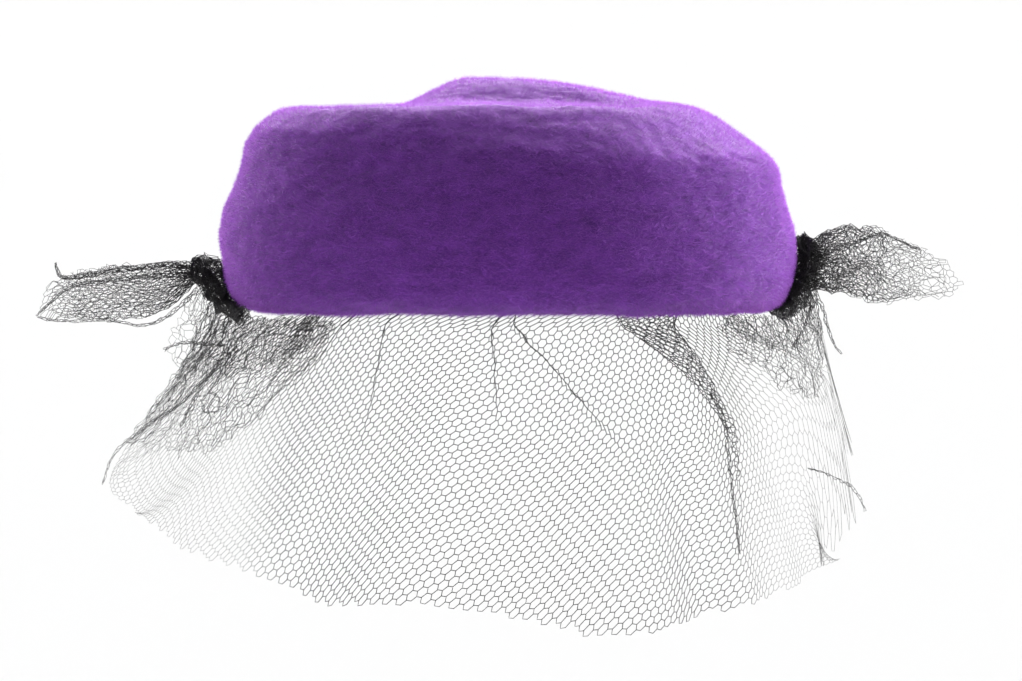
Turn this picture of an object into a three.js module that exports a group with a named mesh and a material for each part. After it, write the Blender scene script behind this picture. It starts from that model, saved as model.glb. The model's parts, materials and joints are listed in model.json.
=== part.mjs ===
// A velour-felt pillbox hat with a gathered net veil, in millimetres, +Z up.
// The wearer faces -Y. The origin is the middle of the head opening, level with the lower edge at the front.
// "turn" is an angle in degrees round the hat, 0 at the front and positive towards +X.
// "reach" is a distance from the hat's axis towards the side; the hat is OVAL times as deep as it is wide.
import * as THREE from "three";

const FELT_WALL = 3;
const NET_WALL = 1.2; // the net's threads and the loft between its layers
const OVAL = 1.076;
const CROWN_SECTORS = 60;
const CROWN_ROWS = 20;
const NET_ROWS = 7;
const BUNCH_SIDES = 12;

const FELT_COLOUR = 0x4b2470;
const NET_COLOUR = 0x141216;

// The felt's outer face from the middle of the tip, over the shoulder and round the rolled edge, to the head opening.
const CROWN_PROFILE = [
  { at: "tip middle", reach: 0, height: 70.6 },
  { at: "tip", reach: 34, height: 70.8 },
  { at: "tip border", reach: 60, height: 71.6 },
  { at: "ridge", reach: 74.5, height: 72.4 },
  { at: "shoulder top", reach: 84.5, height: 66.6 },
  { at: "shoulder", reach: 91.8, height: 60.2 },
  { at: "upper wall", reach: 96.4, height: 54 },
  { at: "waist", reach: 98.9, height: 46.8 },
  { at: "wall", reach: 101.8, height: 37 },
  { at: "widest", reach: 104.3, height: 26 },
  { at: "lower wall", reach: 103.3, height: 13.5 },
  { at: "roll", reach: 99.8, height: 4.4 },
  { at: "roll bottom", reach: 93, height: 0.7 },
  { at: "turned-in edge", reach: 87, height: 0.2 },
  { at: "head opening", reach: 83, height: 2.4 },
];

// The lower edge dips over the ears, and the crown leans towards -X and swells into a mound behind its front ridge.
const EAR_DIP = { drop: 2, reach: 100, from: 2, to: 34 };
const LEAN = { sideways: -7, from: 51, to: 67 };
const MOUND = { rise: 11.8, left: [-42, -8], right: [76, 14], front: [-66, 0], back: [98, 50] };

// Soft dents in the tip (depth is down) and in the wall (depth is inwards), each fading over its spreads.
const TIP_DENTS = [
  { x: 12, y: -30, spreadX: 24, spreadY: 10, depth: 2.2 },
  { x: 40, y: -38, spreadX: 13, spreadY: 13, depth: 3 },
  { x: 34, y: 46, spreadX: 20, spreadY: 20, depth: 2.5 },
  { x: -52, y: 18, spreadX: 16, spreadY: 34, depth: 1.6 },
];
const WALL_DENTS = [
  { turn: -92, height: 33, spreadTurn: 44, spreadHeight: 10, depth: -1.6 },
  { turn: -92, height: 46, spreadTurn: 26, spreadHeight: 4, depth: 0.8 },
  { turn: -80, height: 64, spreadTurn: 40, spreadHeight: 7, depth: 1.4 },
  { turn: 92, height: 38, spreadTurn: 40, spreadHeight: 12, depth: 1.8 },
  { turn: 62, height: 58, spreadTurn: 16, spreadHeight: 8, depth: 1.8 },
  { turn: -20, height: 56, spreadTurn: 30, spreadHeight: 9, depth: 1 },
  { turn: 150, height: 50, spreadTurn: 30, spreadHeight: 12, depth: 2 },
  { turn: -140, height: 34, spreadTurn: 34, spreadHeight: 12, depth: 1.4 },
];

// The net's cut, gathered: one row for each station from one side knot, round the front, to the other.
const VEIL = [
  { turn: -91, topReach: 107.6, topHeight: 3.8, midReach: 108, midHeight: 1, hemReach: 109, hemHeight: -3 },
  { turn: -90, topReach: 105, topHeight: -0.6, midReach: 114, midHeight: -13, hemReach: 126, hemHeight: -37 },
  { turn: -86, topReach: 100.4, topHeight: -4.4, midReach: 117, midHeight: -22, hemReach: 146, hemHeight: -62 },
  { turn: -76, topReach: 90, topHeight: -5, midReach: 106, midHeight: -30, hemReach: 136, hemHeight: -72 },
  { turn: -64, topReach: 79.6, topHeight: 0, midReach: 98, midHeight: -34, hemReach: 127, hemHeight: -80 },
  { turn: -48, topReach: 79.4, topHeight: 2.4, midReach: 94, midHeight: -36, hemReach: 121, hemHeight: -87 },
  { turn: -30, topReach: 79.4, topHeight: 3, midReach: 93, midHeight: -38, hemReach: 120, hemHeight: -95 },
  { turn: -13, topReach: 79.4, topHeight: 3, midReach: 92, midHeight: -38, hemReach: 116.5, hemHeight: -93.5 },
  { turn: 0, topReach: 79.4, topHeight: 3, midReach: 92, midHeight: -40, hemReach: 116, hemHeight: -98 },
  { turn: 15, topReach: 79.4, topHeight: 3, midReach: 93, midHeight: -42, hemReach: 117, hemHeight: -104 },
  { turn: 31, topReach: 79.4, topHeight: 3, midReach: 93, midHeight: -40, hemReach: 117, hemHeight: -101 },
  { turn: 48, topReach: 79.4, topHeight: 2.4, midReach: 94, midHeight: -38, hemReach: 117, hemHeight: -96 },
  { turn: 66, topReach: 79.6, topHeight: 0, midReach: 97, midHeight: -36, hemReach: 121, hemHeight: -91 },
  { turn: 76, topReach: 90, topHeight: -5, midReach: 104, midHeight: -32, hemReach: 126, hemHeight: -82 },
  { turn: 86, topReach: 100.4, topHeight: -4, midReach: 112, midHeight: -26, hemReach: 127, hemHeight: -68 },
  { turn: 90, topReach: 105.6, topHeight: 1.6, midReach: 111, midHeight: -10, hemReach: 117, hemHeight: -34 },
  { turn: 91, topReach: 107.6, topHeight: 9, midReach: 108, midHeight: 6, hemReach: 109, hemHeight: 2 },
];
const VEIL_STEPS = 64;
const VEIL_FOLDS = [
  { turn: -60, width: 7, depth: 5 },
  { turn: -38, width: 6, depth: -4 },
  { turn: -18, width: 7, depth: 5 },
  { turn: 4, width: 6, depth: -5 },
  { turn: 22, width: 7, depth: 5 },
  { turn: 37, width: 5, depth: -5 },
  { turn: 51, width: 5, depth: 8 },
  { turn: 64, width: 6, depth: -6 },
];

// The shorter second layer that falls from each knot over the veil.
const FLOUNCE_LEFT = [
  { turn: -93, topReach: 113, topHeight: 4, midReach: 116, midHeight: -4, hemReach: 123, hemHeight: -10 },
  { turn: -86, topReach: 109, topHeight: -1, midReach: 122, midHeight: -9, hemReach: 128, hemHeight: -16 },
  { turn: -78, topReach: 106, topHeight: -4, midReach: 120, midHeight: -18, hemReach: 127, hemHeight: -40 },
  { turn: -68, topReach: 102, topHeight: -5, midReach: 117, midHeight: -18, hemReach: 125, hemHeight: -44 },
  { turn: -58, topReach: 97, topHeight: -5, midReach: 111, midHeight: -16, hemReach: 118, hemHeight: -33 },
  { turn: -50, topReach: 93, topHeight: -4.6, midReach: 104, midHeight: -12, hemReach: 109, hemHeight: -22 },
  { turn: -44, topReach: 90, topHeight: -4.4, midReach: 96, midHeight: -9, hemReach: 100, hemHeight: -14 },
];
const FLOUNCE_RIGHT = [
  { turn: 93, topReach: 113, topHeight: 9, midReach: 115, midHeight: 2, hemReach: 119, hemHeight: -4 },
  { turn: 86, topReach: 109, topHeight: 1, midReach: 117, midHeight: -8, hemReach: 120, hemHeight: -20 },
  { turn: 78, topReach: 105, topHeight: -4, midReach: 114, midHeight: -16, hemReach: 119, hemHeight: -36 },
  { turn: 68, topReach: 100, topHeight: -5, midReach: 109, midHeight: -14, hemReach: 114, hemHeight: -30 },
  { turn: 58, topReach: 95, topHeight: -4.8, midReach: 102, midHeight: -10, hemReach: 106, hemHeight: -18 },
  { turn: 52, topReach: 92, topHeight: -4.6, midReach: 96, midHeight: -8, hemReach: 99, hemHeight: -12 },
];
const FLOUNCE_STEPS = 20;

// The bunched ends of the net: upright ovals, each "out" from the axis, with its middle, height and thickness.
const TAIL_LEFT = [
  { out: 114.9, back: 0, middle: 11.5, tall: 8, thick: 7 },
  { out: 121, back: 0, middle: 8.4, tall: 16, thick: 10 },
  { out: 131, back: 1, middle: 4.6, tall: 21, thick: 13 },
  { out: 145, back: 2, middle: 4.6, tall: 21, thick: 14 },
  { out: 157, back: 3, middle: 3.6, tall: 17.5, thick: 12 },
  { out: 166, back: 3, middle: 3.2, tall: 17, thick: 8 },
  { out: 172.6, back: 3, middle: -1.6, tall: 6, thick: 4 },
];
const TAIL_RIGHT = [
  { out: 114.9, back: 0, middle: 16.8, tall: 9, thick: 7 },
  { out: 121, back: 0, middle: 17, tall: 27, thick: 11 },
  { out: 134, back: 2, middle: 14.6, tall: 28, thick: 15 },
  { out: 148, back: 4, middle: 12, tall: 22, thick: 13 },
  { out: 158, back: 5, middle: 9.8, tall: 13, thick: 10 },
  { out: 165, back: 5, middle: 8, tall: 5, thick: 4 },
];
const KNOT = { out: 109.6, wide: 9.6, deep: 11, tall: 12 };
const KNOT_HEIGHT_LEFT = 11.5;
const KNOT_HEIGHT_RIGHT = 16.8;

const fade = THREE.MathUtils.smoothstep;
const rad = THREE.MathUtils.degToRad;

function aroundHat(turn, reach, height) {
  return new THREE.Vector3(
    reach * Math.sin(rad(turn)),
    -OVAL * reach * Math.cos(rad(turn)),
    height,
  );
}

function turnOf(point) {
  return THREE.MathUtils.radToDeg(Math.atan2(point.x, -point.y / OVAL));
}

// 1 in the middle, 0 well past the spread.
function bell(distance, spread) {
  return Math.exp(-((distance / spread) ** 2));
}

// The shortest way from one turn to another, across the back of the hat if that is shorter.
function turnBetween(a, b) {
  return THREE.MathUtils.euclideanModulo(a - b + 180, 360) - 180;
}

// Dips, leans, swells and dents a point of the round felt shape; both faces of the wall move alike.
function shapeFelt(point) {
  const { x, y, z } = point;
  const onTop = fade(z, 50, 70);
  const dip = EAR_DIP.drop * (x / EAR_DIP.reach) ** 2 * (1 - fade(z, EAR_DIP.from, EAR_DIP.to));
  const side =
    fade(x, ...MOUND.left) * (1 - fade(x, MOUND.right[1], MOUND.right[0]));
  const depth =
    fade(y, ...MOUND.front) * (1 - fade(y, MOUND.back[1], MOUND.back[0]));
  let lift = MOUND.rise * side * depth;
  for (const d of TIP_DENTS)
    lift -= d.depth * bell(x - d.x, d.spreadX) * bell(y - d.y, d.spreadY);
  const turn = turnOf(point);
  let inwards = 0;
  for (const d of WALL_DENTS)
    inwards +=
      d.depth *
      bell(turnBetween(turn, d.turn), d.spreadTurn) *
      bell(z - d.height, d.spreadHeight);
  const reach = Math.max(Math.hypot(x, y), 1);
  return new THREE.Vector3(
    x - (inwards * x) / reach + LEAN.sideways * fade(z, LEAN.from, LEAN.to),
    y - (inwards * y) / reach,
    z + lift * onTop - dip,
  );
}

// The felt: its outer profile and the same profile moved inwards by the wall, turned round the axis and then shaped.
function feltCrown() {
  const outline = new THREE.SplineCurve(
    CROWN_PROFILE.map((p) => new THREE.Vector2(p.reach, p.height)),
  );
  const outer = outline.getPoints(CROWN_ROWS);
  const inner = outer.map((p, i) => {
    const along = outline.getTangent(i / CROWN_ROWS);
    return new THREE.Vector2(p.x - along.y * -FELT_WALL, p.y - along.x * FELT_WALL);
  });
  inner[0].x = 0;
  const geometry = new THREE.LatheGeometry([...inner, ...outer.reverse()], CROWN_SECTORS);
  geometry.rotateX(Math.PI / 2);
  geometry.scale(1, OVAL, 1);
  const place = geometry.getAttribute("position");
  for (let i = 0; i < place.count; i++) {
    const moved = shapeFelt(new THREE.Vector3().fromBufferAttribute(place, i));
    place.setXYZ(i, moved.x, moved.y, moved.z);
  }
  geometry.computeVertexNormals();
  return geometry;
}

// Joins closed loops of points, one after another, into a closed solid. Each loop has the same even count.
function loft(loops) {
  const count = loops[0].length;
  const index = [];
  const quad = (a, b, c, d) => index.push(a, b, c, a, c, d);
  for (let s = 0; s + 1 < loops.length; s++)
    for (let k = 0; k < count; k++) {
      const here = s * count;
      const next = (k + 1) % count;
      quad(here + k, here + next, here + count + next, here + count + k);
    }
  const lastLoop = (loops.length - 1) * count;
  for (let k = 0; k + 1 < count / 2; k++) {
    const [a, b, c, d] = [k, k + 1, count - 2 - k, count - 1 - k];
    quad(d, c, b, a);
    quad(lastLoop + a, lastLoop + b, lastLoop + c, lastLoop + d);
  }
  return new THREE.BufferGeometry()
    .setAttribute(
      "position",
      new THREE.Float32BufferAttribute(loops.flat().flatMap((p) => p.toArray()), 3),
    )
    .setIndex(index);
}

// A hanging sheet of net as a function of how far round (0 to 1) and how far down (0 to 1).
function hangingSheet(rows, folds = []) {
  const edge = (reach, height) =>
    new THREE.CatmullRomCurve3(
      rows.map((r) => aroundHat(r.turn, r[reach], r[height])),
      false,
      "centripetal",
    );
  const top = edge("topReach", "topHeight");
  const middle = edge("midReach", "midHeight");
  const hem = edge("hemReach", "hemHeight");
  return (round, down) => {
    const point = new THREE.QuadraticBezierCurve3(
      top.getPoint(round),
      middle.getPoint(round),
      hem.getPoint(round),
    ).getPoint(down);
    const turn = turnOf(point);
    const outwards = new THREE.Vector3(point.x, point.y, 0).normalize();
    for (const f of folds)
      point.addScaledVector(outwards, f.depth * bell(turn - f.turn, f.width) * down ** 1.5);
    return point;
  };
}

// Gives a sheet its wall, half to each side.
function netWall(sheet, steps) {
  const nudge = 1e-3;
  const loops = [];
  for (let s = 0; s <= steps; s++) {
    const round = s / steps;
    const front = [];
    const back = [];
    for (let r = 0; r <= NET_ROWS; r++) {
      const down = r / NET_ROWS;
      const across = sheet(Math.min(round + nudge, 1), down).sub(
        sheet(Math.max(round - nudge, 0), down),
      );
      const fall = sheet(round, Math.min(down + nudge, 1)).sub(
        sheet(round, Math.max(down - nudge, 0)),
      );
      const normal = fall.cross(across).normalize();
      front.push(sheet(round, down).addScaledVector(normal, NET_WALL / 2));
      back.unshift(sheet(round, down).addScaledVector(normal, -NET_WALL / 2));
    }
    loops.push([...front, ...back]);
  }
  return loft(loops);
}

// A bunch of net with an upright oval at each section; side is 1 towards +X and -1 towards -X.
function netBunch(sections, side) {
  return loft(
    sections.map((s) =>
      Array.from({ length: BUNCH_SIDES }, (_, k) => {
        const angle = (2 * Math.PI * (k + 0.5) * side) / BUNCH_SIDES;
        return new THREE.Vector3(
          side * s.out,
          s.back + (s.thick / 2) * Math.cos(angle),
          s.middle + (s.tall / 2) * Math.sin(angle),
        );
      }),
    ),
  );
}

function knot(side, height) {
  return new THREE.SphereGeometry(0.5, 14, 10)
    .scale(KNOT.wide, KNOT.deep, KNOT.tall)
    .translate(side * KNOT.out, 0, height);
}

const felt = new THREE.MeshStandardMaterial({ color: FELT_COLOUR, roughness: 0.95, metalness: 0 });
const net = new THREE.MeshStandardMaterial({ color: NET_COLOUR, roughness: 0.8, metalness: 0 });

const hat = new THREE.Group();
function addPiece(name, geometry, material) {
  const mesh = new THREE.Mesh(geometry, material);
  mesh.name = name;
  hat.add(mesh);
}

addPiece("felt_crown", feltCrown(), felt);
addPiece("net_veil", netWall(hangingSheet(VEIL, VEIL_FOLDS), VEIL_STEPS), net);
addPiece("flounce_left", netWall(hangingSheet(FLOUNCE_LEFT), FLOUNCE_STEPS), net);
addPiece("flounce_right", netWall(hangingSheet(FLOUNCE_RIGHT), FLOUNCE_STEPS), net);
addPiece("knot_left", knot(-1, KNOT_HEIGHT_LEFT), net);
addPiece("knot_right", knot(1, KNOT_HEIGHT_RIGHT), net);
addPiece("tail_left", netBunch(TAIL_LEFT, -1), net);
addPiece("tail_right", netBunch(TAIL_RIGHT, 1), net);

export default hat;
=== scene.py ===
"""Dresses a velour-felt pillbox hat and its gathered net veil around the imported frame.

The wearer faces -Y. The tables are in millimetres and MM turns them into metres. A turn is an angle in
degrees round the hat, 0 at the front and positive towards +X. A reach is a distance from the hat's axis
towards the side; the hat is OVAL times as deep as it is wide.
"""

import json
import logging
import math
from dataclasses import dataclass, field
from enum import Enum

import bpy
import numpy as np
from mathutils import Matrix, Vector, noise

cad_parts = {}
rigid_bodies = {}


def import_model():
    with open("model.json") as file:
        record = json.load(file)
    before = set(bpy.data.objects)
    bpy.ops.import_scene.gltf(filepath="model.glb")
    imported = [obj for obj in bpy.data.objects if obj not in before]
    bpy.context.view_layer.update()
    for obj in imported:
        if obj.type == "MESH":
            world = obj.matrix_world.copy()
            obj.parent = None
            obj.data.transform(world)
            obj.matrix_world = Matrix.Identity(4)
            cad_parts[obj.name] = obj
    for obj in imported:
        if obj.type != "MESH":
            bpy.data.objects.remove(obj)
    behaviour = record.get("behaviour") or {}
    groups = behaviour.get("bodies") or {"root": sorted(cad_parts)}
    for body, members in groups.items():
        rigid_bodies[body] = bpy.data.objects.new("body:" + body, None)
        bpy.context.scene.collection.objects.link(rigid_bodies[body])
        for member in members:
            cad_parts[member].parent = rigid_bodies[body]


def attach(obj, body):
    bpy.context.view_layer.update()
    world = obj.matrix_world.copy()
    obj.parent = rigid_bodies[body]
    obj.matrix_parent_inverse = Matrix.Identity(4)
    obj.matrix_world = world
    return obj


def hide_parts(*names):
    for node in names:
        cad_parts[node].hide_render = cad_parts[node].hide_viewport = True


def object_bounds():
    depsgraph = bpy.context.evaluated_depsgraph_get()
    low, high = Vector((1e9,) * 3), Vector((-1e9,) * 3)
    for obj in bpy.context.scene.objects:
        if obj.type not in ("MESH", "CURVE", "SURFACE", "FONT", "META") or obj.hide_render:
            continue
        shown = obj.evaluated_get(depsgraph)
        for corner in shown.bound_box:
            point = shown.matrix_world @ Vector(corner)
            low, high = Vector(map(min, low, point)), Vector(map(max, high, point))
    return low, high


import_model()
CAD_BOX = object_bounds()

MM = 0.001
OVAL = 1.076
BODY = "root"
FRONT = np.array([0.0, -1.0, 0.0])

log = logging.getLogger("hat")


class Slot(Enum):
    """The record's material slots."""

    FELT = "felt"
    NET = "net"


class Side(Enum):
    """The wearer's two sides, as signs along X."""

    LEFT = -1
    RIGHT = 1

    @property
    def word(self) -> str:
        """The side's name in lower case."""
        return self.name.lower()


# ---------------------------------------------------------------- small helpers


def deselect_all() -> None:
    """Leaves edit mode and deselects every object."""
    if bpy.context.object is not None and bpy.context.object.mode != "OBJECT":
        bpy.ops.object.mode_set(mode="OBJECT")
    for item in bpy.context.scene.objects:
        item.select_set(False)


def pick(item: bpy.types.Object) -> None:
    """Makes one object the only selected one and the active one."""
    deselect_all()
    item.select_set(True)
    bpy.context.view_layer.objects.active = item


def rename(item: bpy.types.Object, name: str) -> bpy.types.Object:
    """Names an object and its mesh alike and returns the object."""
    item.name = name
    item.data.name = name
    return item


def settle(item: bpy.types.Object) -> None:
    """Applies an object's place, turn and size to its mesh."""
    pick(item)
    bpy.ops.object.transform_apply(location=True, rotation=True, scale=True)


def apply_modifiers(item: bpy.types.Object) -> None:
    """Applies all of an object's modifiers in order."""
    pick(item)
    for name in [m.name for m in item.modifiers]:
        bpy.ops.object.modifier_apply(modifier=name)


def points_of(item: bpy.types.Object) -> np.ndarray:
    """An object's mesh points as rows of x, y and z in metres."""
    flat = np.empty(3 * len(item.data.vertices))
    item.data.vertices.foreach_get("co", flat)
    return flat.reshape(-1, 3)


def move_points(item: bpy.types.Object, points: np.ndarray) -> None:
    """Puts an object's mesh points at the given places in metres."""
    item.data.vertices.foreach_set("co", points.astype(np.float32).ravel())
    item.data.update()


def delete_points(item: bpy.types.Object, doomed: np.ndarray) -> None:
    """Deletes the mesh points for which doomed is true, with their edges and faces."""
    pick(item)
    bpy.ops.object.mode_set(mode="EDIT")
    bpy.ops.mesh.select_mode(type="VERT")
    bpy.ops.mesh.select_all(action="DESELECT")
    bpy.ops.object.mode_set(mode="OBJECT")
    item.data.vertices.foreach_set("select", doomed)
    bpy.ops.object.mode_set(mode="EDIT")
    bpy.ops.mesh.delete(type="VERT")
    bpy.ops.object.mode_set(mode="OBJECT")


def trim_stubs(net: bpy.types.Object) -> None:
    """Cuts off the loose ends of thread that are left where a net has been cut."""
    for _ in range(2):
        ends = np.empty(2 * len(net.data.edges), dtype=np.int32)
        net.data.edges.foreach_get("vertices", ends)
        delete_points(net, np.bincount(ends, minlength=len(net.data.vertices)) < 2)


def joined(pieces: list[bpy.types.Object], name: str) -> bpy.types.Object:
    """Joins objects into the first of them, which takes the name given."""
    pick(pieces[0])
    for piece in pieces[1:]:
        piece.select_set(True)
    if len(pieces) > 1:
        bpy.ops.object.join()
    return rename(bpy.context.object, name)


def fade(value: np.ndarray, start: float, end: float) -> np.ndarray:
    """A smooth step from 0 at start to 1 at end; end may be below start."""
    share = np.clip((value - start) / (end - start), 0.0, 1.0)
    return share * share * (3.0 - 2.0 * share)


def bell(distance: np.ndarray, spread: float) -> np.ndarray:
    """1 in the middle and almost 0 at twice the spread."""
    return np.exp(-((distance / spread) ** 2))


def flowing_line(knots: np.ndarray, at: np.ndarray) -> np.ndarray:
    """Follows a smooth line through a row of points.

    Args:
        knots: the points, one row each.
        at: where to read the line, from 0 at the first point to 1 at the last.

    Returns:
        One row for each value of at.
    """
    last = len(knots) - 1
    place = np.clip(at, 0.0, 1.0) * last
    cell = np.minimum(place.astype(int), last - 1)
    part = (place - cell)[:, None]
    before = knots[np.maximum(cell - 1, 0)]
    here, there = knots[cell], knots[cell + 1]
    after = knots[np.minimum(cell + 2, last)]
    return 0.5 * (
        2.0 * here
        + (there - before) * part
        + (2.0 * before - 5.0 * here + 4.0 * there - after) * part**2
        + (3.0 * here - before - 3.0 * there + after) * part**3
    )


def ruffled(points: np.ndarray, amount: float | np.ndarray, grain: float, seed: float) -> np.ndarray:
    """Crumples points by a smooth random field.

    Args:
        points: places in millimetres.
        amount: the field's strength in millimetres, for all points or a row for each.
        grain: the size of one crumple in millimetres.
        seed: shifts the field, so that pieces differ.

    Returns:
        The moved places in millimetres.
    """
    shift = Vector((seed, -seed, 0.5 * seed))
    field_at = [noise.noise_vector(Vector(p) / grain + shift) for p in points]
    return points + amount * np.array(field_at)


# ---------------------------------------------------------------- finishes


def socket(
    group: bpy.types.NodeTree, name: str, kind: str, outwards: bool = False, value: float | None = None
) -> None:
    """Adds a named socket to a node group, with its default value if one is given."""
    made = group.interface.new_socket(
        name=name, in_out="OUTPUT" if outwards else "INPUT", socket_type=kind
    )
    if value is not None:
        made.default_value = value


def fibre_group() -> bpy.types.NodeTree:
    """Builds the effect of matted fibres: broad clouds, and fine streaks that lie level round the hat.

    Returns:
        A shader group with the inputs Cloud Size and Streak Size, both in repeats to the metre, and the
        outputs Clouds and Streaks, both from 0 to 1.
    """
    group = bpy.data.node_groups.new("matted fibres", "ShaderNodeTree")
    socket(group, "Cloud Size", "NodeSocketFloat", value=170.0)
    socket(group, "Streak Size", "NodeSocketFloat", value=260.0)
    socket(group, "Clouds", "NodeSocketFloat", outwards=True)
    socket(group, "Streaks", "NodeSocketFloat", outwards=True)
    nodes, link = group.nodes, group.links.new
    inputs = nodes.new("NodeGroupInput")
    outputs = nodes.new("NodeGroupOutput")
    place = nodes.new("ShaderNodeTexCoord")
    level = nodes.new("ShaderNodeMapping")
    level.inputs["Scale"].default_value = (0.65, 0.65, 1.2)
    link(place.outputs["Object"], level.inputs["Vector"])
    clouds = nodes.new("ShaderNodeTexNoise")
    clouds.inputs["Detail"].default_value = 5.0
    clouds.inputs["Roughness"].default_value = 0.6
    link(level.outputs["Vector"], clouds.inputs["Vector"])
    link(inputs.outputs["Cloud Size"], clouds.inputs["Scale"])
    streaks = nodes.new("ShaderNodeTexNoise")
    streaks.inputs["Detail"].default_value = 4.0
    streaks.inputs["Roughness"].default_value = 0.7
    streaks.inputs["Distortion"].default_value = 0.6
    link(level.outputs["Vector"], streaks.inputs["Vector"])
    link(inputs.outputs["Streak Size"], streaks.inputs["Scale"])
    link(clouds.outputs["Fac"], outputs.inputs["Clouds"])
    link(streaks.outputs["Fac"], outputs.inputs["Streaks"])
    return group


@dataclass(frozen=True)
class VelourFinish:
    """Dyed velour felt: the matted ground under the nap, or the nap's own fibres."""

    name: str
    deep: tuple[float, float, float] = (0.038, 0.0085, 0.1)
    bright: tuple[float, float, float] = (0.3, 0.072, 0.56)
    glow: tuple[float, float, float] = (0.34, 0.13, 0.46)
    roughness: float = 0.9
    sheen: float = 0.35
    relief: float = 0.0006
    fibre_shades: bool = False
    lets_light_through: float = 0.0

    def material(self, fibres: bpy.types.NodeTree) -> bpy.types.Material:
        """Builds the material.

        Args:
            fibres: the shared group of matted fibres.

        Returns:
            A material that reads Object coordinates, and each fibre's own shade if fibre_shades is set.
        """
        made = bpy.data.materials.new(self.name)
        made.use_nodes = True
        nodes, link = made.node_tree.nodes, made.node_tree.links.new
        shader = nodes["Principled BSDF"]
        shader.inputs["Sheen Weight"].default_value = self.sheen
        shader.inputs["Sheen Roughness"].default_value = 0.6
        shader.inputs["Sheen Tint"].default_value = (0.9, 0.65, 1.0, 1.0)
        shader.inputs["Specular IOR Level"].default_value = 0.12
        shader.inputs["Roughness"].default_value = self.roughness
        matted = nodes.new("ShaderNodeGroup")
        matted.node_tree = fibres
        tone = nodes.new("ShaderNodeMath")
        tone.operation = "MULTIPLY_ADD"
        tone.inputs[1].default_value = 0.3
        link(matted.outputs["Clouds"], tone.inputs[0])
        if self.fibre_shades:
            shade = nodes.new("ShaderNodeAttribute")
            shade.attribute_name = "shade"
            own = nodes.new("ShaderNodeMath")
            own.operation = "MULTIPLY"
            own.inputs[1].default_value = 0.8
            link(shade.outputs["Fac"], own.inputs[0])
            link(own.outputs["Value"], tone.inputs[2])
        else:
            own = nodes.new("ShaderNodeMath")
            own.operation = "MULTIPLY"
            own.inputs[1].default_value = 0.5
            link(matted.outputs["Streaks"], own.inputs[0])
            link(own.outputs["Value"], tone.inputs[2])
        ramp = nodes.new("ShaderNodeValToRGB")
        ramp.color_ramp.elements[0].position = 0.26 if self.fibre_shades else 0.18
        ramp.color_ramp.elements[0].color = (*self.deep, 1.0)
        ramp.color_ramp.elements[1].position = 0.88 if self.fibre_shades else 0.72
        ramp.color_ramp.elements[1].color = (*self.bright, 1.0)
        link(tone.outputs["Value"], ramp.inputs["Fac"])
        link(ramp.outputs["Color"], shader.inputs["Base Color"])
        bump = nodes.new("ShaderNodeBump")
        bump.inputs["Distance"].default_value = self.relief
        bump.inputs["Strength"].default_value = 0.8
        link(matted.outputs["Streaks"], bump.inputs["Height"])
        link(bump.outputs["Normal"], shader.inputs["Normal"])
        if self.lets_light_through:
            thin = nodes.new("ShaderNodeBsdfTranslucent")
            thin.inputs["Color"].default_value = (*self.glow, 1.0)
            blend = nodes.new("ShaderNodeMixShader")
            blend.inputs["Fac"].default_value = self.lets_light_through
            link(shader.outputs["BSDF"], blend.inputs[1])
            link(thin.outputs["BSDF"], blend.inputs[2])
            link(blend.outputs["Shader"], nodes["Material Output"].inputs["Surface"])
        return made


@dataclass(frozen=True)
class ThreadFinish:
    """Black millinery thread, a little dusty and slightly shiny."""

    name: str
    black: tuple[float, float, float] = (0.005, 0.005, 0.006)
    worn: tuple[float, float, float] = (0.02, 0.018, 0.02)
    roughness: float = 0.55

    def material(self) -> bpy.types.Material:
        """Builds the thread's material, which reads Object coordinates."""
        made = bpy.data.materials.new(self.name)
        made.use_nodes = True
        nodes, link = made.node_tree.nodes, made.node_tree.links.new
        shader = nodes["Principled BSDF"]
        shader.inputs["Specular IOR Level"].default_value = 0.3
        place = nodes.new("ShaderNodeTexCoord")
        dust = nodes.new("ShaderNodeTexNoise")
        dust.inputs["Scale"].default_value = 340.0
        dust.inputs["Detail"].default_value = 3.0
        link(place.outputs["Object"], dust.inputs["Vector"])
        blend = nodes.new("ShaderNodeMix")
        blend.data_type = "RGBA"
        blend.inputs["A"].default_value = (*self.black, 1.0)
        blend.inputs["B"].default_value = (*self.worn, 1.0)
        link(dust.outputs["Fac"], blend.inputs["Factor"])
        link(blend.outputs["Result"], shader.inputs["Base Color"])
        rough = nodes.new("ShaderNodeMapRange")
        rough.inputs["To Min"].default_value = self.roughness - 0.1
        rough.inputs["To Max"].default_value = self.roughness + 0.2
        link(dust.outputs["Fac"], rough.inputs["Value"])
        link(rough.outputs["Result"], shader.inputs["Roughness"])
        return made


# ---------------------------------------------------------------- the felt


@dataclass(frozen=True)
class Ring:
    """One ring of the felt's outer face."""

    place: str
    reach: float
    height: float


@dataclass(frozen=True)
class TipDent:
    """A soft dent in the tip."""

    x: float
    y: float
    spread_x: float
    spread_y: float
    depth: float


@dataclass(frozen=True)
class WallDent:
    """A soft dent in the wall, or a swelling where its depth is below 0."""

    turn: float
    height: float
    spread_turn: float
    spread_height: float
    depth: float


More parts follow.
